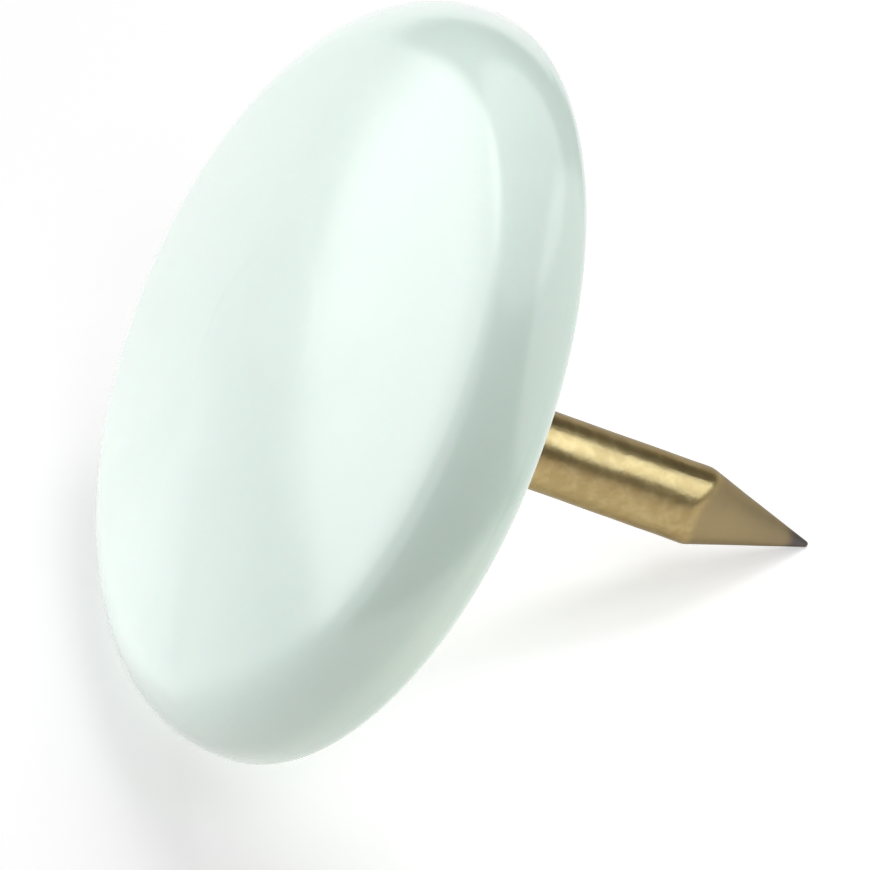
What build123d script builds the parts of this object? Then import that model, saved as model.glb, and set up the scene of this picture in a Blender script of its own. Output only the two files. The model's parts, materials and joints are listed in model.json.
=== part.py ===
from build123d import *
import math
import os

# A thumbtack: a moulded plastic head on a plated steel pin, lying on a flat surface on its rim and its point.
# Sizes are in millimetres and angles in degrees.

# Driving dimensions of the head
head_diameter = 9.5
lower_edge_radius = 0.15
rim_band = 0.10
shoulder_radius = 1.0
crown_slope = 13.0
seat_ring_width = 1.1
recess_depth = 0.30
recess_corner_radius = 0.12
hub_diameter = 2.6

# Driving dimensions of the pin
pin_diameter = 1.0
pin_length = 6.35
point_length = 1.6
tip_radius = 0.04
neck_flare = 0.15
neck_diameter = 1.44
grip_ring_count = 2
grip_ring_rise = 0.10
grip_ring_width = 0.12
anchor_depth = 0.65
anchor_diameter = 3.2
anchor_thickness = 0.35

# How closely the moulded head grips the pin: the plastic flows against the metal, so there is no gap
moulded_clearance = 0.0


# Profiles are drawn with x as the distance from the pin's axis and y as the height above the seat

def turned(outline):
    """The solid that a closed profile makes when it is turned about the pin's axis."""
    return revolve(Plane.XZ * make_face(outline), Axis.Z)


def head_profile():
    """The head's section: hub, recess, seat ring, lower edge, rim band, shoulder and crown."""
    rim = head_diameter / 2
    hub = hub_diameter / 2
    corner = recess_corner_radius
    seat_outer = rim - lower_edge_radius
    seat_inner = seat_outer - seat_ring_width
    band_top = lower_edge_radius + rim_band
    shoulder_center = rim - shoulder_radius
    slope = math.radians(crown_slope)
    crown_edge = shoulder_center + shoulder_radius * math.sin(slope)
    crown_edge_height = band_top + shoulder_radius * math.cos(slope)
    crown_radius = crown_edge / math.sin(slope)
    crown_center = crown_edge_height - crown_radius * math.cos(slope)
    head_height = crown_center + crown_radius
    return [
        Line((0, 0), (hub, 0)),
        Line((hub, 0), (hub, recess_depth - corner)),
        CenterArc((hub + corner, recess_depth - corner), corner, 90, 90),
        Line((hub + corner, recess_depth), (seat_inner - corner, recess_depth)),
        CenterArc((seat_inner - corner, recess_depth - corner), corner, 0, 90),
        Line((seat_inner, recess_depth - corner), (seat_inner, 0)),
        Line((seat_inner, 0), (seat_outer, 0)),
        CenterArc((seat_outer, lower_edge_radius), lower_edge_radius, -90, 90),
        Line((rim, lower_edge_radius), (rim, band_top)),
        CenterArc((shoulder_center, band_top), shoulder_radius, 0, 90 - crown_slope),
        CenterArc((0, crown_center), crown_radius, 90 - crown_slope, crown_slope),
        Line((0, head_height), (0, 0)),
    ]


def point_half_angle():
    """Half the angle of the conical point, which is tangent to its small round tip."""
    rise = point_length - tip_radius
    radius = pin_diameter / 2
    reach = math.hypot(radius, rise)
    return math.degrees(math.acos(tip_radius / reach) - math.atan2(rise, radius))


def pin_profile(clearance):
    """The pin's section from its tip to its anchor, with the buried part grown by a clearance."""
    shank = pin_diameter / 2
    neck = neck_diameter / 2 + clearance
    ring = neck_diameter / 2 + grip_ring_rise + clearance
    anchor = anchor_diameter / 2 + clearance
    anchor_low = anchor_depth - clearance
    anchor_high = anchor_depth + anchor_thickness + clearance
    half_angle = point_half_angle()
    tip_center = tip_radius - pin_length
    shoulder = point_length - pin_length
    tangent = Vector(0, tip_center) + Vector(tip_radius, 0).rotate(Axis.Z, -half_angle)
    corners = [tangent, (shank, shoulder), (shank, 0), (neck, neck_flare)]
    ring_pitch = (anchor_depth - neck_flare) / grip_ring_count
    for index in range(grip_ring_count):
        middle = neck_flare + (index + 0.5) * ring_pitch
        ring_low = middle - grip_ring_width / 2 - clearance
        ring_high = middle + grip_ring_width / 2 + clearance
        corners += [(neck, ring_low), (ring, ring_low), (ring, ring_high), (neck, ring_high)]
    corners += [(neck, anchor_low), (anchor, anchor_low), (anchor, anchor_high), (0, anchor_high)]
    return [
        CenterArc((0, tip_center), tip_radius, -90, 90 - half_angle),
        Polyline(*corners),
        Line((0, anchor_high), (0, -pin_length)),
    ]


def resting_tilt():
    """The angle between the pin's axis and the surface when both the tip and the rim touch it."""
    across = head_diameter / 2 - lower_edge_radius
    along = pin_length - tip_radius + lower_edge_radius
    lean = math.asin((lower_edge_radius - tip_radius) / math.hypot(across, along))
    return math.degrees(math.atan2(across, along) + lean)


def laid_down(solids):
    """The tack turned onto its rim and tip, tip towards +X, with its box centred over the origin."""
    turn = Rotation(0, resting_tilt() - 90, 0)
    turned_solids = [turn * solid for solid in solids]
    box = Compound(turned_solids).bounding_box()
    shift = Pos(-box.center().X, -box.center().Y, -box.min.Z)
    return [shift * solid for solid in turned_solids]


pin = turned(pin_profile(0))
head = turned(head_profile()) - turned(pin_profile(moulded_clearance))
head, pin = laid_down([head.solid(), pin.solid()])

os.makedirs("parts", exist_ok=True)
export_step(head, "parts/head.step")
export_step(pin, "parts/pin.step")
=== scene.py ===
import json
import math
from typing import NamedTuple

import bmesh
import bpy
from bpy.props import FloatProperty, FloatVectorProperty, IntProperty, PointerProperty
from mathutils import Matrix, Vector, noise


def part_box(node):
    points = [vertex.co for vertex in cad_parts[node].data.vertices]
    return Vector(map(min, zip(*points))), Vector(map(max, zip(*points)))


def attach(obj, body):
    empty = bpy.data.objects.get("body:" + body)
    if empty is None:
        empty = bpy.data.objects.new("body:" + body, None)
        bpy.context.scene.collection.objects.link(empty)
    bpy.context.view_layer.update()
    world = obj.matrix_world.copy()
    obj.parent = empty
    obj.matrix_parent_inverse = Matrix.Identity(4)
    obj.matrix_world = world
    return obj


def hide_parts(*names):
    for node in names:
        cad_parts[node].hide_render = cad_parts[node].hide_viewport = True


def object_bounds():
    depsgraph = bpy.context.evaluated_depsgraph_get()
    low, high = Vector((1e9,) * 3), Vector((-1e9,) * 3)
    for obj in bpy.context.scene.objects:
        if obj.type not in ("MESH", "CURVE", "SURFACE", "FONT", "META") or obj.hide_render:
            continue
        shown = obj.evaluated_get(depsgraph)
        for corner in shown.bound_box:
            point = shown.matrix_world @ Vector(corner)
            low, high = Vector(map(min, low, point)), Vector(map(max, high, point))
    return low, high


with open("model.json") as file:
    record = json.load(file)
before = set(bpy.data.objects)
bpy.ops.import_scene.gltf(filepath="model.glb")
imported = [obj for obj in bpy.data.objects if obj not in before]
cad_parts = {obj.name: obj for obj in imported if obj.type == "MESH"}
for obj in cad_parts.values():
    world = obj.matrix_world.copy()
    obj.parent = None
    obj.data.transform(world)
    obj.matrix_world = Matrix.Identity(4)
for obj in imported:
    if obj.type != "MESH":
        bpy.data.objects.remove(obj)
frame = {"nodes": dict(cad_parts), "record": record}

bl_info = {
    "name": "Push pin",
    "version": (1, 0, 0),
    "blender": (4, 5, 0),
    "location": "View3D > Sidebar > Push pin",
    "description": "Builds the plastic head and the plated pin of a push pin round its packed frame",
    "category": "Object",
}

MM = 0.001
HEAD_PIECE = "head_moulding"
PIN_PIECE = "plated_pin"
UP = Vector((0, 0, 1))

# Small gaps that keep the floor and the tip from touching what they would coincide with
FLOOR_GAP = 0.002 * MM
TIP_SLACK = 0.0005 * MM

# How near two points count as one, and how near the axis or the seat a point counts as on it
SAME_POINT = 1e-8
TOUCHING = 1e-9

# How many steps each stretch of the outlines is divided into
HUB_STEPS = 10
LIP_STEPS = 5
CORNER_STEPS = 6
CEILING_STEPS = 34
SEAT_STEPS = 14
EDGE_STEPS = 10
SHOULDER_STEPS = 36
CROWN_STEPS = 60
TIP_STEPS = 8
POINT_STEPS = 40
SHANK_STEPS = 120

# Edges sharper than this are shaded as corners
SHARP_ANGLE = math.radians(28)

# Lengths of the waves in the moulded skin and the drawn wire, and of the wire's fading out at the seat
SKIN_WAVE = 2.6 * MM
WIRE_WAVE_ACROSS = 0.35 * MM
WIRE_WAVE_ALONG = 0.45 * MM
SEAT_FADE = 0.1 * MM

# A place on the pin with less than this share of the true radius is on the round tip
WHOLE_RADIUS = 0.999

# Where the gate's stub meets the recess and how wide its slope is, as shares of its radius
GATE_FOOT = 1.25
GATE_SLOPE = 0.5

# A normal with less height than this looks down
LOOKING_DOWN = -0.9

# Noise in the plastic, with scales counted over a metre
CLOUDS = {"scale": 420, "detail": 3, "roughness": 0.5, "distortion": 0.4}
RUB = {"scale": 1600, "detail": 4, "roughness": 0.6}
PEEL = {"scale": 2600, "detail": 2, "roughness": 0.4}
SCUFFS = {"scale": 1, "detail": 3, "roughness": 0.6}
SCUFF_STRETCH = (900, 9000, 900)
CLOUD_RANGE = (0.35, 0.65)

# Strength and distance of the plastic's bumps
PEEL_BUMP = (0.05, 0.02 * MM)
SCUFF_BUMP = (0.03, 0.01 * MM)

# Gloss and milkiness of the plastic
PLASTIC_ROUGHNESS = (0.18, 0.24)
PLASTIC_IOR = 1.56
GLOSS_WEIGHT = 1.0
GLOSS_ROUGHNESS = 0.16
MILK_WEIGHT = 0.35
MILK_RADIUS = (0.55, 1.2, 0.8)
MILK_DEPTH = 0.4 * MM

# Noise in the plating, with scales counted over a metre
MOTTLE = {"scale": 5000, "detail": 2, "roughness": 0.6, "distortion": 0.3}
BLOTCH = {"scale": 1500, "detail": 3, "roughness": 0.5}
TARNISH = {"scale": 900, "detail": 2, "roughness": 0.5}
DRAW_LINES = {"scale": 1, "detail": 1, "roughness": 0.6}
DRAW_STRETCH = (7000, 7000, 200)
MOTTLE_RANGE = (0.42, 0.68)
TARNISH_RANGE = (0.45, 0.7)
TARNISH_SHARE = 0.8

# Where most values of a noise lie
NOISE_RANGE = (0.3, 0.7)

# Where the painted shade on the point ends as shares of the wire's thickness, and where thin plating ends
# along the point
POINT_SHADE_EDGE = (0.45, 0.49)
THIN_RANGE = (0.2, 0.9)
THIN_SHARE = 0.25

# Where the bare steel ends, and how unevenly, as shares of the bare tip's length
BARE_RANGE = (0.45, 1.2)
BARE_UNEVENNESS = 0.25

# Strength and distance of the plating's bumps
PIT_BUMP = (1.0, 0.006 * MM)
DRAW_BUMP = (0.6, 0.004 * MM)

# Gloss of the plating and of the thin lacquer over it
PLATING_ROUGHNESS = (0.27, 0.37)
LACQUER_WEIGHT = 0.35
LACQUER_ROUGHNESS = 0.2

# The lens, and where the middle of the picture lies from the seat's centre, to the right and up
SENSOR_WIDTH = 36.0
CLIP_START = 0.01
CLIP_END = 10.0
VIEW_OFFSET = (0.787 * MM, -0.555 * MM)


class Softbox(NamedTuple):
    """Where a panel stands, seen from the tack, and how far it spreads each way, in degrees."""

    azimuth: float
    elevation: float
    half_length: float
    half_width: float
    along: tuple = ()


# The panels of the stage, all at one distance from the tack, with the direction that a turned one is long in
PANEL_DISTANCE = 0.15
FACE_BOX = Softbox(azimuth=150, elevation=21, half_length=37, half_width=32, along=(57, 74))
FILL_BOX = Softbox(azimuth=162, elevation=24, half_length=40, half_width=40)
TOP_BOX = Softbox(azimuth=70, elevation=62, half_length=40, half_width=40)
BOUNCE_BOX = Softbox(azimuth=294, elevation=-30, half_length=28, half_width=28)
TABLE_BOX = Softbox(azimuth=136, elevation=-28, half_length=11, half_width=11)
RIM_BOX = Softbox(azimuth=345, elevation=24, half_length=42, half_width=42)
PIN_BOX = Softbox(azimuth=352, elevation=25, half_length=14, half_width=25)
FLOOR_KEY_BOX = Softbox(azimuth=43, elevation=57, half_length=18, half_width=10, along=(22, 25))
FLOOR_SIDE_BOX = Softbox(azimuth=8, elevation=65, half_length=15, half_width=15)
FLOOR_FILL_BOX = Softbox(azimuth=300, elevation=56, half_length=10, half_width=10)

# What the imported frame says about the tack
CAD_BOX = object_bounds()
MOUNTS = {mount["name"]: mount for mount in frame["record"]["mounts"]}
SHANK = MOUNTS["shank"]
PIN_AXIS = Vector(SHANK["axis"]).normalized()
SHANK_DIAMETER = 2 * SHANK["dims"]["r_mm"] * MM
SHANK_LENGTH = SHANK["dims"]["length_mm"] * MM
SEAT_CENTER = Vector(SHANK["pos_m"]) - PIN_AXIS * SHANK_LENGTH / 2


def reach(node, direction):
    """How far a node's vertices reach from the seat's centre in a direction."""
    return max((vertex.co - SEAT_CENTER) @ direction for vertex in frame["nodes"][node].data.vertices)


HEAD_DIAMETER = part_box("head")[1].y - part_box("head")[0].y
PIN_LENGTH = reach("pin", PIN_AXIS)
POINT_LENGTH = PIN_LENGTH - SHANK_LENGTH


def tack_matrix():
    """The place of the tack's own axes: the seat's centre as origin, Y across the head, Z out of its face."""
    z_axis = -PIN_AXIS
    y_axis = Vector((0, 1, 0))
    x_axis = y_axis.cross(z_axis)
    return Matrix.Translation(SEAT_CENTER) @ Matrix((x_axis, y_axis, z_axis)).transposed().to_4x4()


# Settings that a user would change

class PushPinHeadSettings(bpy.types.PropertyGroup):
    """Sizes and colours of the moulded head."""

    diameter: FloatProperty(
        name="Diameter", description="Width of the head across its rim",
        default=HEAD_DIAMETER, min=0, precision=5, unit="LENGTH")
    lower_edge_radius: FloatProperty(
        name="Lower edge radius", description="Rounding between the seat and the rim",
        default=0.15 * MM, min=0, precision=5, unit="LENGTH")
    rim_band: FloatProperty(
        name="Rim band", description="Height of the straight part of the rim",
        default=0.10 * MM, min=0, precision=5, unit="LENGTH")
    shoulder_radius: FloatProperty(
        name="Shoulder radius", description="Rounding between the rim and the face",
        default=1.0 * MM, min=0, precision=5, unit="LENGTH")
    crown_slope: FloatProperty(
        name="Crown slope", description="Slope of the crowned face where it meets the shoulder",
        default=math.radians(13.0), min=0.001, max=1.2, subtype="ANGLE")
    seat_ring_width: FloatProperty(
        name="Seat ring width", description="Width of the flat ring that presses on the paper",
        default=1.1 * MM, min=0, precision=5, unit="LENGTH")
    recess_depth: FloatProperty(
        name="Recess depth", description="Depth of the ring-shaped recess under the head",
        default=0.30 * MM, min=0, precision=5, unit="LENGTH")
    recess_corner_radius: FloatProperty(
        name="Recess corner radius", description="Rounding inside the recess",
        default=0.12 * MM, min=0, precision=5, unit="LENGTH")
    hub_diameter: FloatProperty(
        name="Hub diameter", description="Width of the hub round the pin",
        default=2.6 * MM, min=0, precision=5, unit="LENGTH")
    lip_radius: FloatProperty(
        name="Lip radius", description="Rounding of the recess's and the hub's lower lips",
        default=0.05 * MM, min=0, precision=5, unit="LENGTH")
    parting_ridge: FloatProperty(
        name="Parting ridge", description="Height of the fine mould line round the rim",
        default=0.004 * MM, min=0, precision=6, unit="LENGTH")
    parting_width: FloatProperty(
        name="Parting width", description="Width of the fine mould line round the rim",
        default=0.07 * MM, min=0, precision=6, unit="LENGTH")
    gate_radius: FloatProperty(
        name="Gate radius", description="Radius of the stub that the mould's gate leaves in the recess",
        default=0.22 * MM, min=0.001 * MM, precision=6, unit="LENGTH")
    gate_height: FloatProperty(
        name="Gate height", description="Height of the stub that the mould's gate leaves in the recess",
        default=0.10 * MM, min=0, precision=6, unit="LENGTH")
    gate_angle: FloatProperty(
        name="Gate angle", description="Place of the gate's stub round the head's axis",
        default=math.radians(25.0), subtype="ANGLE")
    waviness: FloatProperty(
        name="Waviness", description="How far the moulded skin departs from a true shape",
        default=0.004 * MM, min=0, precision=6, unit="LENGTH")
    color: FloatVectorProperty(
        name="Colour", description="Colour of the plastic", subtype="COLOR", size=3, min=0, max=1,
        default=(0.71, 0.845, 0.785))
    pale_color: FloatVectorProperty(
        name="Pale colour", description="Colour of the plastic where it flowed thinner", subtype="COLOR",
        size=3, min=0, max=1, default=(0.735, 0.865, 0.805))
    segments: IntProperty(
        name="Segments", description="Steps round the head's axis", default=256, min=32, max=1024)


class PushPinPinSettings(bpy.types.PropertyGroup):
    """Sizes and colours of the plated pin."""

    diameter: FloatProperty(
        name="Diameter", description="Thickness of the wire",
        default=SHANK_DIAMETER, min=0, precision=5, unit="LENGTH")
    length: FloatProperty(
        name="Length", description="Length of the pin below the seat",
        default=PIN_LENGTH - TIP_SLACK, min=0, precision=5, unit="LENGTH")
    point_length: FloatProperty(
        name="Point length", description="Length of the conical point",
        default=POINT_LENGTH, min=0, precision=5, unit="LENGTH")
    tip_radius: FloatProperty(
        name="Tip radius", description="Rounding of the very tip",
        default=0.04 * MM, min=0, precision=5, unit="LENGTH")
    grind_skew: FloatProperty(
        name="Grind skew", description="How much longer the point is ground on one side",
        default=0.28 * MM, min=0, precision=5, unit="LENGTH")
    grind_angle: FloatProperty(
        name="Grind angle", description="The side, round the pin's axis, that the point is ground longest on",
        default=math.radians(-70.0), subtype="ANGLE")
    shoulder_softness: FloatProperty(
        name="Shoulder softness", description="How softly the shank runs into the point",
        default=0.012 * MM, min=0.0001 * MM, precision=6, unit="LENGTH")
    unevenness: FloatProperty(
        name="Unevenness", description="How far the drawn wire departs from a true cylinder",
        default=0.008 * MM, min=0, precision=6, unit="LENGTH")
    neck_flare: FloatProperty(
        name="Neck flare", description="Height over which the buried neck widens",
        default=0.15 * MM, min=0, precision=5, unit="LENGTH")
    neck_diameter: FloatProperty(
        name="Neck diameter", description="Thickness of the neck inside the head",
        default=1.44 * MM, min=0, precision=5, unit="LENGTH")
    grip_ring_count: IntProperty(
        name="Grip rings", description="Rings on the neck that hold it in the plastic",
        default=2, min=0, max=8)
    grip_ring_rise: FloatProperty(
        name="Grip ring rise", description="How far a grip ring stands out of the neck",
        default=0.10 * MM, min=0, precision=5, unit="LENGTH")
    grip_ring_width: FloatProperty(
        name="Grip ring width", description="Width of a grip ring along the neck",
        default=0.12 * MM, min=0, precision=5, unit="LENGTH")
    anchor_depth: FloatProperty(
        name="Anchor depth", description="Height of the buried anchor above the seat",
        default=0.65 * MM, min=0, precision=5, unit="LENGTH")
    anchor_diameter: FloatProperty(
        name="Anchor diameter", description="Width of the buried anchor",
        default=3.2 * MM, min=0, precision=5, unit="LENGTH")
    anchor_thickness: FloatProperty(
        name="Anchor thickness", description="Thickness of the buried anchor",
        default=0.35 * MM, min=0, precision=5, unit="LENGTH")
    color: FloatVectorProperty(
        name="Plating colour", description="Colour of the brass plating", subtype="COLOR", size=3,
        min=0, max=1, default=(0.40, 0.29, 0.12))
    pale_color: FloatVectorProperty(
        name="Pale plating colour", description="Colour of the plating where it is rubbed bright",
        subtype="COLOR", size=3, min=0, max=1, default=(0.48, 0.36, 0.165))
    warm_color: FloatVectorProperty(
        name="Warm plating colour", description="Colour of the plating where it has tarnished to copper",
        subtype="COLOR", size=3, min=0, max=1, default=(0.43, 0.27, 0.10))
    edge_tint: FloatVectorProperty(
        name="Edge tint", description="How much of each colour the plating keeps at a glancing angle",
        subtype="COLOR", size=3, min=0, max=1, default=(0.45, 0.42, 0.35))
    # Painted shade: a darker plating colour on the point stands in for the darker reflection that the point
    # shows
    point_shade_color: FloatVectorProperty(
        name="Point colour", description="Colour of the plating where it is thin on the point",
        subtype="COLOR", size=3, min=0, max=1, default=(0.325, 0.245, 0.12))
    steel_color: FloatVectorProperty(
        name="Steel colour", description="Colour of the bare steel at the tip", subtype="COLOR", size=3,
        min=0, max=1, default=(0.10, 0.085, 0.075))
    bare_tip: FloatProperty(
        name="Bare tip", description="Length of the tip where the plating is worn off",
        default=0.40 * MM, min=0, precision=5, unit="LENGTH")
    segments: IntProperty(
        name="Segments", description="Steps round the pin's axis", default=128, min=16, max=512)


class PushPinStageSettings(bpy.types.PropertyGroup):
    """Floor, light and camera."""

    floor_color: FloatVectorProperty(
        name="Floor colour", description="Colour of the floor", subtype="COLOR", size=3, min=0, max=1,
        default=(0.96, 0.94, 0.95))
    floor_size: FloatProperty(
        name="Floor size", description="Width of the floor", default=0.6, min=0, unit="LENGTH")
    floor_glow: FloatProperty(
        name="Floor glow", description="Brightness added to the floor where it is seen, so that it is white",
        default=0.52, min=0, max=1)
    face_strength: FloatProperty(
        name="Face strength", description="Brightness of the panel that shines in the head's face",
        default=1.2, min=0)
    fill_strength: FloatProperty(
        name="Fill strength", description="Brightness of the wide panel beside the head's face",
        default=0.85, min=0)
    top_strength: FloatProperty(
        name="Top strength", description="Brightness of the panel overhead", default=0.9, min=0)
    bounce_strength: FloatProperty(
        name="Bounce strength", description="Brightness of the light that the table throws up at the head",
        default=1.95, min=0)
    bounce_color: FloatVectorProperty(
        name="Bounce colour", description="Warm white of the light that the table throws up at the head",
        subtype="COLOR", size=3, min=0, max=1, default=(1.0, 0.95, 0.82))
    table_strength: FloatProperty(
        name="Table strength", description="Brightness of the white table that shows in the left of the face",
        default=2.7, min=0)
    rim_strength: FloatProperty(
        name="Rim strength", description="Brightness of the wide panel behind the head's rim",
        default=0.92, min=0)
    pin_strength: FloatProperty(
        name="Pin strength", description="Brightness of the panel that shines along the pin",
        default=3.2, min=0)
    pin_light_color: FloatVectorProperty(
        name="Pin light colour", description="Cool white of the panel that shines along the pin",
        subtype="COLOR", size=3, min=0, max=1, default=(0.80, 0.90, 1.0))
    floor_key_strength: FloatProperty(
        name="Floor key strength", description="Brightness of the oval panel that casts the pin's shadow",
        default=4.2, min=0)
    floor_side_strength: FloatProperty(
        name="Floor side strength", description="Brightness of the high panel that casts the head's shadow",
        default=1.9, min=0)
    floor_fill_strength: FloatProperty(
        name="Floor fill strength", description="Brightness of the small panel at the front right",
        default=2.4, min=0)
    dim_strength: FloatProperty(
        name="Dim strength", description="Brightness of the surroundings between the panels",
        default=0.145, min=0)
    azimuth: FloatProperty(
        name="Azimuth", description="Direction that the camera looks in, counted from +Y",
        default=math.radians(-5.5), subtype="ANGLE")
    elevation: FloatProperty(
        name="Elevation", description="Height of the camera above the horizon",
        default=math.radians(45.0), subtype="ANGLE")
    roll: FloatProperty(
        name="Roll", description="How far the picture is turned anticlockwise",
        default=math.radians(4.75), subtype="ANGLE")
    frame_width: FloatProperty(
        name="Frame width", description="Width of the picture at the tack",
        default=10.40 * MM, min=0, precision=5, unit="LENGTH")
    distance: FloatProperty(
        name="Camera distance", description="Distance from the camera to the tack",
        default=0.40, min=0, unit="LENGTH")


# Profiles and turned meshes

def arc(center, radius, start, end, steps):
    """Points on an arc from one angle to another, in degrees, both ends included."""
    points = []
    for index in range(steps + 1):
        angle = math.radians(start + (end - start) * index / steps)
        points.append((center[0] + radius * math.cos(angle), center[1] + radius * math.sin(angle)))
    return points


def line(start, end, steps):
    """Points between two ends, neither included, that give a long flat or straight its rings."""
    points = []
    for index in range(1, steps):
        share = index / steps
        points.append((start[0] + (end[0] - start[0]) * share, start[1] + (end[1] - start[1]) * share))
    return points


def joined(*stretches):
    """One outline from several stretches, without points that repeat."""
    outline = []
    for stretch in stretches:
        for point in stretch:
            if not outline or math.dist(point, outline[-1]) > SAME_POINT:
                outline.append(point)
    return outline


def buried_outline(pin):
    """The neck, grip rings and anchor from the seat to the pin's axis, shared by the pin and the head."""
    shank = pin.diameter / 2
    neck = pin.neck_diameter / 2
    ring = neck + pin.grip_ring_rise
    anchor = pin.anchor_diameter / 2
    anchor_top = pin.anchor_depth + pin.anchor_thickness
    points = [(shank, 0), (neck, pin.neck_flare)]
    pitch = (pin.anchor_depth - pin.neck_flare) / max(pin.grip_ring_count, 1)
    for index in range(pin.grip_ring_count):
        middle = pin.neck_flare + (index + 0.5) * pitch
        low = middle - pin.grip_ring_width / 2
        high = middle + pin.grip_ring_width / 2
        points += [(neck, low), (ring, low), (ring, high), (neck, high)]
    points += [(neck, pin.anchor_depth), (anchor, pin.anchor_depth), (anchor, anchor_top), (0, anchor_top)]
    return points


def head_outline(head, pin):
    """The head's section from the top of the anchor's pocket, round the outside, to the crown's middle."""
    ridge = head.parting_ridge
    rim = head.diameter / 2 - ridge
    hub = head.hub_diameter / 2
    lip = head.lip_radius
    corner = head.recess_corner_radius
    depth = head.recess_depth
    low = head.lower_edge_radius
    seat_outer = rim - low
    seat_inner = head.diameter / 2 - low - head.seat_ring_width
    band_top = low + head.rim_band
    band_middle = low + head.rim_band / 2
    ridge_half = head.parting_width / 2
    shoulder = head.shoulder_radius
    shoulder_center = rim - shoulder
    slope = head.crown_slope
    crown_edge = shoulder_center + shoulder * math.sin(slope)
    crown_radius = crown_edge / math.sin(slope)
    crown_center = band_top + shoulder * math.cos(slope) - crown_radius * math.cos(slope)
    slope_angle = 90 - math.degrees(slope)
    hub_end = (hub - lip, 0)
    ceiling_start = (hub + corner, depth)
    ceiling_end = (seat_inner - corner, depth)
    seat_start = (seat_inner + lip, 0)
    return joined(
        list(reversed(buried_outline(pin))),
        line((pin.diameter / 2, 0), hub_end, HUB_STEPS),
        arc((hub - lip, lip), lip, -90, 0, LIP_STEPS),
        arc((hub + corner, depth - corner), corner, 180, 90, CORNER_STEPS),
        line(ceiling_start, ceiling_end, CEILING_STEPS),
        arc((seat_inner - corner, depth - corner), corner, 90, 0, CORNER_STEPS),
        arc((seat_inner + lip, lip), lip, 180, 270, LIP_STEPS),
        line(seat_start, (seat_outer, 0), SEAT_STEPS),
        arc((seat_outer, low), low, -90, 0, EDGE_STEPS),
        [(rim, band_middle - ridge_half), (rim + ridge, band_middle), (rim, band_middle + ridge_half)],
        arc((shoulder_center, band_top), shoulder, 0, slope_angle, SHOULDER_STEPS),
        arc((0, crown_center), crown_radius, slope_angle, 90, CROWN_STEPS),
    )


def point_half_angle(pin):
    """Half the angle of the conical point, which is tangent to its small round tip."""
    rise = pin.point_length - pin.tip_radius
    radius = pin.diameter / 2
    return math.acos(pin.tip_radius / math.hypot(radius, rise)) - math.atan2(rise, radius)


def pin_outline(pin):
    """The pin's section from its tip to the top of its anchor."""
    shank = pin.diameter / 2
    half_angle = math.degrees(point_half_angle(pin))
    tip_center = (0, pin.tip_radius - pin.length)
    shoulder = (shank, pin.point_length - pin.length)
    tip = arc(tip_center, pin.tip_radius, -90, -half_angle, TIP_STEPS)
    return joined(
        tip,
        line(tip[-1], shoulder, POINT_STEPS),
        [shoulder],
        line(shoulder, (shank, 0), SHANK_STEPS),
        buried_outline(pin),
    )


def soft_minimum(first, second, softness):
    """The smaller of two lengths, run smoothly into each other where they are close."""
    share = min(max(0.5 + 0.5 * (second - first) / softness, 0.0), 1.0)
    return second + (first - second) * share - softness * share * (1 - share)


def worn_pin_place(pin, place):
    """Where a place on the true pin lies on the real one, ground a little askew and drawn unevenly."""
    radius = place.xy.length
    if place.z > -TOUCHING or radius < TOUCHING:
        return place
    shank = pin.diameter / 2
    beyond_tip = pin.tip_radius / math.sin(point_half_angle(pin)) - pin.tip_radius
    from_apex = place.z + pin.length + beyond_tip
    cone = shank * from_apex / (pin.point_length + beyond_tip)
    facing = max(0.0, math.cos(math.atan2(place.y, place.x) - pin.grind_angle))
    ground = pin.point_length / (pin.point_length + pin.grind_skew * facing * facing)
    if radius < cone * WHOLE_RADIUS and radius < shank * WHOLE_RADIUS:
        worn = radius * ground
    else:
        worn = soft_minimum(min(cone, 2 * shank) * ground, shank, pin.shoulder_softness)
    spot = (place.x / WIRE_WAVE_ACROSS, place.y / WIRE_WAVE_ACROSS, place.z / WIRE_WAVE_ALONG)
    wave = noise.noise(Vector(spot))
    near_seat = min(-place.z / SEAT_FADE, 1.0)
    worn -= pin.unevenness * (0.5 + 0.5 * wave) * near_seat * worn / shank
    return Vector((place.x * worn / radius, place.y * worn / radius, place.z))


def gate_rise(head, place):
    """How far the stub that the mould's gate leaves stands out of the recess's ceiling at a place."""
    seat_inner = head.diameter / 2 - head.lower_edge_radius - head.seat_ring_width
    middle = (head.hub_diameter / 2 + seat_inner) / 2
    center = Vector((middle * math.cos(head.gate_angle), middle * math.sin(head.gate_angle)))
    away = (place.xy - center).length / head.gate_radius
    share = min(max((GATE_FOOT - away) / GATE_SLOPE, 0.0), 1.0)
    return head.gate_height * share * share * (3 - 2 * share)


def turned_mesh(outline, segments):
    """A closed mesh turned about Z from (radius, height) points, the first and the last on the axis."""
    work = bmesh.new()
    rings = []
    for radius, height in outline:
        if radius < TOUCHING:
            rings.append([work.verts.new((0, 0, height))])
            continue
        ring = []
        for index in range(segments):
            angle = 2 * math.pi * index / segments
            ring.append(work.verts.new((radius * math.cos(angle), radius * math.sin(angle), height)))
        rings.append(ring)
    for lower, upper in zip(rings, rings[1:]):
        for index in range(segments):
            following = (index + 1) % segments
            corners = [lower[index % len(lower)], lower[following % len(lower)],
                       upper[following % len(upper)], upper[index % len(upper)]]
            work.faces.new(list(dict.fromkeys(corners)))
    bmesh.ops.recalc_face_normals(work, faces=work.faces)
    work.normal_update()
    return work


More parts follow.
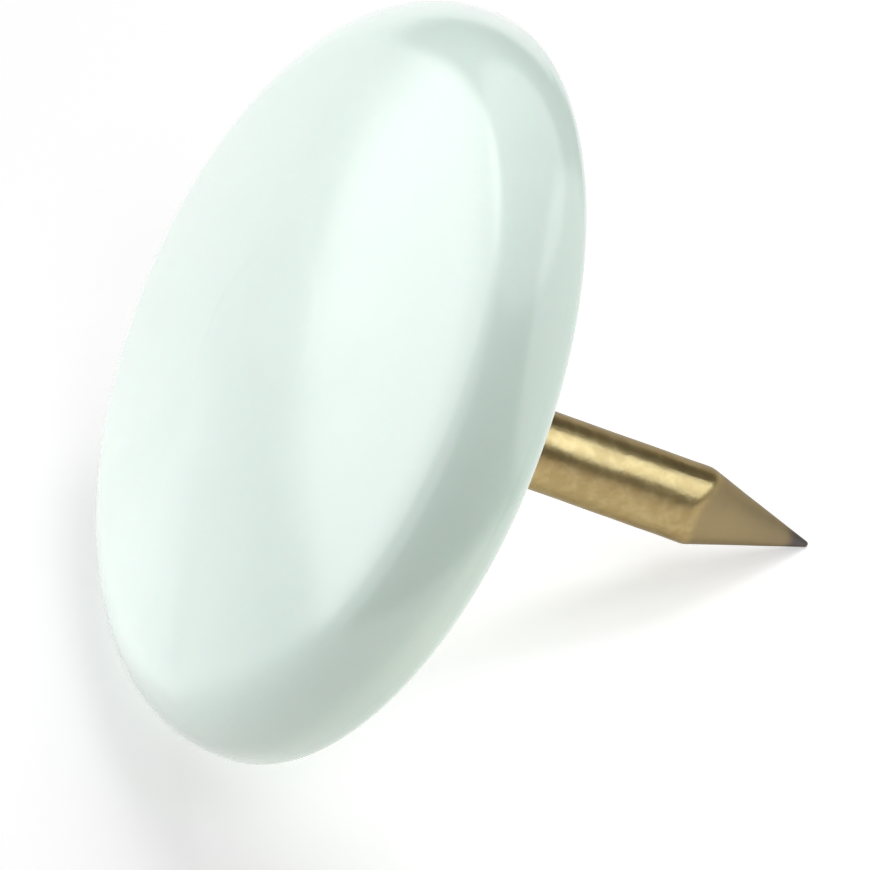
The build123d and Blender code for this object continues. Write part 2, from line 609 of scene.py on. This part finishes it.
def add_piece(name, work, material, node):
    """The finished piece in the tack's place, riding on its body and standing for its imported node."""
    work.normal_update()
    for face in work.faces:
        face.smooth = True
    for edge in work.edges:
        edge.smooth = edge.calc_face_angle(0) < SHARP_ANGLE
    work.transform(tack_matrix())
    mesh = bpy.data.meshes.new(name)
    work.to_mesh(mesh)
    work.free()
    mesh.materials.append(material)
    piece = bpy.data.objects.new(name, mesh)
    bpy.context.scene.collection.objects.link(piece)
    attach(piece, "root")
    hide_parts(node)
    return piece


# Materials

class NodeBench:
    """A short way to lay out a material's nodes."""

    def __init__(self, tree):
        self.tree = tree

    def node(self, kind, **settings):
        """A new node with some of its settings changed."""
        made = self.tree.nodes.new(kind)
        for key, value in settings.items():
            setattr(made, key, value)
        return made

    def link(self, source, target):
        """Join an output to an input."""
        self.tree.links.new(source, target)

    def noise(self, vector, scale, detail, roughness=0.5, distortion=0.0):
        """Noise at a place, from 0 to 1."""
        made = self.node("ShaderNodeTexNoise")
        made.inputs["Scale"].default_value = scale
        made.inputs["Detail"].default_value = detail
        made.inputs["Roughness"].default_value = roughness
        made.inputs["Distortion"].default_value = distortion
        self.link(vector, made.inputs["Vector"])
        return made.outputs["Fac"]

    def stretched(self, vector, scale):
        """A place scaled along each of its axes."""
        made = self.node("ShaderNodeMapping")
        made.inputs["Scale"].default_value = scale
        self.link(vector, made.inputs["Vector"])
        return made.outputs["Vector"]

    def remap(self, value, low, high, to_low, to_high, smooth=False):
        """A value taken from one range to another and held inside it."""
        made = self.node("ShaderNodeMapRange")
        if smooth:
            made.interpolation_type = "SMOOTHSTEP"
        made.inputs["From Min"].default_value = low
        made.inputs["From Max"].default_value = high
        made.inputs["To Min"].default_value = to_low
        made.inputs["To Max"].default_value = to_high
        self.link(value, made.inputs["Value"])
        return made.outputs["Result"]

    def mix(self, share, first, second):
        """A colour between two, each of them a plain colour or an output."""
        made = self.node("ShaderNodeMix", data_type="RGBA")
        self.link(share, made.inputs["Factor"])
        for socket, colour in ((made.inputs["A"], first), (made.inputs["B"], second)):
            if isinstance(colour, bpy.types.NodeSocket):
                self.link(colour, socket)
            else:
                socket.default_value = (*colour, 1)
        return made.outputs["Result"]

    def math(self, operation, first, second):
        """One operation on two values, each of them a number or an output."""
        made = self.node("ShaderNodeMath", operation=operation)
        for socket, value in zip(made.inputs, (first, second)):
            if isinstance(value, bpy.types.NodeSocket):
                self.link(value, socket)
            else:
                socket.default_value = value
        return made.outputs["Value"]

    def bump(self, height, strength, distance, normal=None):
        """A normal roughened by a height, on top of another normal where one is given."""
        made = self.node("ShaderNodeBump")
        made.inputs["Strength"].default_value = strength
        made.inputs["Distance"].default_value = distance
        self.link(height, made.inputs["Height"])
        if normal is not None:
            self.link(normal, made.inputs["Normal"])
        return made.outputs["Normal"]


def new_material(name):
    """A material with its shader, its node bench and coordinates along the tack's own axes."""
    material = bpy.data.materials.new(name)
    material.use_nodes = True
    bench = NodeBench(material.node_tree)
    shader = material.node_tree.nodes["Principled BSDF"]
    own_axes = bench.node("ShaderNodeMapping", vector_type="TEXTURE")
    own_axes.inputs["Location"].default_value = SEAT_CENTER
    own_axes.inputs["Rotation"].default_value = tack_matrix().to_euler()
    bench.link(bench.node("ShaderNodeTexCoord").outputs["Object"], own_axes.inputs["Vector"])
    return material, bench, shader, own_axes.outputs["Vector"]


def mint_plastic(head):
    """Glossy milky moulding: flow-clouded colour, soft depth, faint orange peel and handling marks."""
    material, bench, shader, place = new_material("mint_plastic")
    clouds = bench.noise(place, **CLOUDS)
    color = bench.mix(bench.remap(clouds, *CLOUD_RANGE, 0, 1, smooth=True), head.color, head.pale_color)
    bench.link(color, shader.inputs["Base Color"])
    rub = bench.noise(place, **RUB)
    bench.link(bench.remap(rub, *NOISE_RANGE, *PLASTIC_ROUGHNESS), shader.inputs["Roughness"])
    peel = bench.noise(place, **PEEL)
    scuffs = bench.noise(bench.stretched(place, SCUFF_STRETCH), **SCUFFS)
    skin = bench.bump(peel, *PEEL_BUMP)
    bench.link(bench.bump(scuffs, *SCUFF_BUMP, normal=skin), shader.inputs["Normal"])
    shader.inputs["IOR"].default_value = PLASTIC_IOR
    shader.inputs["Coat Weight"].default_value = GLOSS_WEIGHT
    shader.inputs["Coat Roughness"].default_value = GLOSS_ROUGHNESS
    shader.inputs["Subsurface Weight"].default_value = MILK_WEIGHT
    shader.inputs["Subsurface Radius"].default_value = MILK_RADIUS
    shader.inputs["Subsurface Scale"].default_value = MILK_DEPTH
    return material


def brass_plating(pin):
    """Drawn, plated wire under thin lacquer: draw lines, mottling, a ground point darkened with painted
    shade, and a bare dark tip.
    """
    material, bench, shader, place = new_material("brass_plating")
    height = bench.node("ShaderNodeSeparateXYZ")
    bench.link(place, height.inputs["Vector"])
    mottle = bench.noise(place, **MOTTLE)
    blotch = bench.noise(place, **BLOTCH)
    from_tip = bench.math("ADD", height.outputs["Z"], pin.length)
    ragged = BARE_UNEVENNESS * pin.bare_tip
    wear = bench.math("ADD", from_tip, bench.remap(blotch, *NOISE_RANGE, -ragged, ragged))
    tarnish = bench.noise(place, **TARNISH)
    tarnished = bench.remap(tarnish, *TARNISH_RANGE, 0, TARNISH_SHARE, smooth=True)
    plated = bench.mix(tarnished, pin.color, pin.warm_color)
    plated = bench.mix(bench.remap(mottle, *MOTTLE_RANGE, 0, 1), plated, pin.pale_color)
    from_axis = bench.node("ShaderNodeVectorMath", operation="LENGTH")
    bench.link(bench.stretched(place, (1, 1, 0)), from_axis.inputs[0])
    # Painted shade: inside this edge the point is darkened by mixing in the point's shade colour
    point_shade_edge = [share * pin.diameter for share in POINT_SHADE_EDGE]
    point_shade = bench.remap(from_axis.outputs["Value"], *point_shade_edge, 1, 0, smooth=True)
    plated = bench.mix(point_shade, plated, pin.point_shade_color)
    thin_range = [share * pin.point_length for share in THIN_RANGE]
    thin = bench.remap(wear, *thin_range, THIN_SHARE, 0, smooth=True)
    plated = bench.mix(thin, plated, pin.steel_color)
    bare_range = [share * pin.bare_tip for share in BARE_RANGE]
    bare = bench.remap(wear, *bare_range, 1, 0, smooth=True)
    bench.link(bench.mix(bare, plated, pin.steel_color), shader.inputs["Base Color"])
    draw = bench.noise(bench.stretched(place, DRAW_STRETCH), **DRAW_LINES)
    bench.link(bench.remap(blotch, *NOISE_RANGE, *PLATING_ROUGHNESS), shader.inputs["Roughness"])
    pits = bench.bump(mottle, *PIT_BUMP)
    bench.link(bench.bump(draw, *DRAW_BUMP, normal=pits), shader.inputs["Normal"])
    shader.inputs["Metallic"].default_value = 1.0
    shader.inputs["Specular Tint"].default_value = (*pin.edge_tint, 1)
    shader.inputs["Coat Weight"].default_value = LACQUER_WEIGHT
    shader.inputs["Coat Roughness"].default_value = LACQUER_ROUGHNESS
    return material


# Pieces

class PUSHPIN_OT_add_head(bpy.types.Operator):
    """Add the moulded plastic head"""

    bl_idname = "pushpin.add_head"
    bl_label = "Add head"

    def execute(self, context):
        head = context.scene.push_pin_head
        pin = context.scene.push_pin_pin
        work = turned_mesh(head_outline(head, pin), head.segments)
        skin = [vertex for vertex in work.verts if vertex.co.xy.length > head.hub_diameter / 2]
        for vertex in skin:
            wave = noise.noise(vertex.co / SKIN_WAVE)
            vertex.co -= vertex.normal * head.waviness * (0.5 + 0.5 * wave)
        for vertex in work.verts:
            on_ceiling = abs(vertex.co.z - head.recess_depth) < 2 * head.waviness
            if on_ceiling and vertex.normal.z < LOOKING_DOWN:
                vertex.co.z -= gate_rise(head, vertex.co)
        add_piece(HEAD_PIECE, work, mint_plastic(head), "head")
        return {"FINISHED"}


class PUSHPIN_OT_add_pin(bpy.types.Operator):
    """Add the plated pin"""

    bl_idname = "pushpin.add_pin"
    bl_label = "Add pin"

    def execute(self, context):
        pin = context.scene.push_pin_pin
        work = turned_mesh(pin_outline(pin), pin.segments)
        for vertex in work.verts:
            vertex.co = worn_pin_place(pin, vertex.co)
        add_piece(PIN_PIECE, work, brass_plating(pin), "pin")
        return {"FINISHED"}


# Stage

def camera_axes(stage):
    """The camera's right, up and backward directions."""
    azimuth, elevation, roll = stage.azimuth, stage.elevation, stage.roll
    back = Vector((math.sin(azimuth) * math.cos(elevation), -math.cos(azimuth) * math.cos(elevation),
                   math.sin(elevation)))
    level = Vector((math.cos(azimuth), math.sin(azimuth), 0))
    rise = back.cross(level)
    right = level * math.cos(roll) - rise * math.sin(roll)
    up = level * math.sin(roll) + rise * math.cos(roll)
    return right, up, back


def add_camera(stage):
    """A long lens at the photograph's viewing angle."""
    right, up, back = camera_axes(stage)
    target = SEAT_CENTER + right * VIEW_OFFSET[0] + up * VIEW_OFFSET[1]
    data = bpy.data.cameras.new("camera")
    data.sensor_width = SENSOR_WIDTH
    data.lens = SENSOR_WIDTH * stage.distance / stage.frame_width
    data.clip_start = CLIP_START
    data.clip_end = CLIP_END
    camera = bpy.data.objects.new("camera", data)
    bpy.context.scene.collection.objects.link(camera)
    turn = Matrix((right, up, back)).transposed().to_4x4()
    camera.matrix_world = Matrix.Translation(target + back * stage.distance) @ turn
    bpy.context.scene.camera = camera


def compass(azimuth, elevation):
    """A direction from its angle round from +X and its angle above the horizon, in degrees."""
    turn = math.radians(azimuth)
    rise = math.radians(elevation)
    return Vector((math.cos(turn) * math.cos(rise), math.sin(turn) * math.cos(rise), math.sin(rise)))


def add_floor(stage):
    """A white floor that keeps the tack's soft shadow."""
    half = stage.floor_size / 2
    height = CAD_BOX[0].z - FLOOR_GAP
    mesh = bpy.data.meshes.new("floor")
    corners = [(-half, -half, height), (half, -half, height), (half, half, height), (-half, half, height)]
    mesh.from_pydata(corners, [], [(0, 1, 2, 3)])
    floor = bpy.data.objects.new("floor", mesh)
    bpy.context.scene.collection.objects.link(floor)
    material = bpy.data.materials.new("floor_white")
    material.use_nodes = True
    material.node_tree.nodes.remove(material.node_tree.nodes["Principled BSDF"])
    bench = NodeBench(material.node_tree)
    matt = bench.node("ShaderNodeBsdfDiffuse")
    matt.inputs["Color"].default_value = (*stage.floor_color, 1)
    ray = bench.node("ShaderNodeLightPath")
    seen = bench.math("MAXIMUM", ray.outputs["Is Camera Ray"], ray.outputs["Is Glossy Ray"])
    seen = bench.math("MAXIMUM", seen, ray.outputs["Is Transmission Ray"])
    glow = bench.node("ShaderNodeEmission")
    bench.link(bench.math("MULTIPLY", seen, stage.floor_glow), glow.inputs["Strength"])
    both = bench.node("ShaderNodeAddShader")
    bench.link(matt.outputs["BSDF"], both.inputs[0])
    bench.link(glow.outputs["Emission"], both.inputs[1])
    output = material.node_tree.nodes["Material Output"]
    bench.link(both.outputs["Shader"], output.inputs["Surface"])
    mesh.materials.append(material)
    return floor


def add_panel(name, box, strength, receivers):
    """An oval panel where a softbox stands, of a brightness, that lights some receivers alone."""
    half_length = PANEL_DISTANCE * math.tan(math.radians(box.half_length))
    half_width = PANEL_DISTANCE * math.tan(math.radians(box.half_width))
    direction = compass(box.azimuth, box.elevation)
    along = compass(*box.along) if box.along else UP
    data = bpy.data.lights.new(name, "AREA")
    data.shape = "ELLIPSE"
    data.size = 2 * half_length
    data.size_y = 2 * half_width
    data.energy = strength * math.pi * math.pi * half_length * half_width
    panel = bpy.data.objects.new(name, data)
    bpy.context.scene.collection.objects.link(panel)
    across = direction.cross(along).normalized()
    turn = Matrix((across.cross(direction), across, direction)).transposed().to_4x4()
    middle = (CAD_BOX[0] + CAD_BOX[1]) / 2
    panel.matrix_world = Matrix.Translation(middle + direction * PANEL_DISTANCE) @ turn
    panel.visible_camera = False
    panel.light_linking.receiver_collection = receivers
    return panel


def group_of(name, members):
    """A collection of objects that a panel lights."""
    group = bpy.data.collections.new(name)
    for member in members:
        group.objects.link(member)
    return group


def add_surroundings(stage):
    """Dim, even surroundings."""
    world = bpy.data.worlds.new("studio")
    bpy.context.scene.world = world
    world.use_nodes = True
    background = world.node_tree.nodes["Background"]
    background.inputs["Color"].default_value = (1, 1, 1, 1)
    background.inputs["Strength"].default_value = stage.dim_strength


class PUSHPIN_OT_add_stage(bpy.types.Operator):
    """Add the floor, the soft lights and the camera"""

    bl_idname = "pushpin.add_stage"
    bl_label = "Add stage"

    def execute(self, context):
        stage = context.scene.push_pin_stage
        context.scene.view_settings.view_transform = "Standard"
        head = group_of("lit_head", [bpy.data.objects[HEAD_PIECE]])
        pin = group_of("lit_pin", [bpy.data.objects[PIN_PIECE]])
        floor = group_of("lit_floor", [add_floor(stage)])
        add_panel("face_panel", FACE_BOX, stage.face_strength, head)
        add_panel("face_fill", FILL_BOX, stage.fill_strength, head)
        add_panel("top_panel", TOP_BOX, stage.top_strength, head)
        bounce = add_panel("bounce_panel", BOUNCE_BOX, stage.bounce_strength, head)
        bounce.data.color = stage.bounce_color
        table = add_panel("table_panel", TABLE_BOX, stage.table_strength, head)
        # These two stand below the floor, which doesn't block them
        for panel in (bounce, table):
            panel.light_linking.blocker_collection = head
        add_panel("rim_panel", RIM_BOX, stage.rim_strength, head)
        shine = add_panel("pin_panel", PIN_BOX, stage.pin_strength, pin)
        shine.data.color = stage.pin_light_color
        add_panel("floor_key", FLOOR_KEY_BOX, stage.floor_key_strength, floor)
        add_panel("floor_side", FLOOR_SIDE_BOX, stage.floor_side_strength, floor)
        add_panel("floor_fill", FLOOR_FILL_BOX, stage.floor_fill_strength, floor)
        add_surroundings(stage)
        add_camera(stage)
        return {"FINISHED"}


class PUSHPIN_PT_panel(bpy.types.Panel):
    """Push pin settings and pieces"""

    bl_label = "Push pin"
    bl_idname = "PUSHPIN_PT_panel"
    bl_space_type = "VIEW_3D"
    bl_region_type = "UI"
    bl_category = "Push pin"

    def draw(self, context):
        layout = self.layout
        for group, operator in PANEL_ROWS:
            settings = getattr(context.scene, group)
            box = layout.box()
            for name in settings.__annotations__:
                box.prop(settings, name)
            box.operator(operator)


PANEL_ROWS = (
    ("push_pin_head", PUSHPIN_OT_add_head.bl_idname),
    ("push_pin_pin", PUSHPIN_OT_add_pin.bl_idname),
    ("push_pin_stage", PUSHPIN_OT_add_stage.bl_idname),
)
SETTINGS = {
    "push_pin_head": PushPinHeadSettings,
    "push_pin_pin": PushPinPinSettings,
    "push_pin_stage": PushPinStageSettings,
}
CLASSES = (
    *SETTINGS.values(),
    PUSHPIN_OT_add_head,
    PUSHPIN_OT_add_pin,
    PUSHPIN_OT_add_stage,
    PUSHPIN_PT_panel,
)


def register():
    """Add the settings, the operators and the panel to Blender."""
    for entry in CLASSES:
        bpy.utils.register_class(entry)
    for name, group in SETTINGS.items():
        setattr(bpy.types.Scene, name, PointerProperty(type=group))


def unregister():
    """Take the settings, the operators and the panel out of Blender."""
    for name in SETTINGS:
        delattr(bpy.types.Scene, name)
    for entry in reversed(CLASSES):
        bpy.utils.unregister_class(entry)


def main():
    """Build the tack and its stage."""
    register()
    bpy.ops.pushpin.add_head()
    bpy.ops.pushpin.add_pin()
    bpy.ops.pushpin.add_stage()


if __name__ == "__main__":
    main()
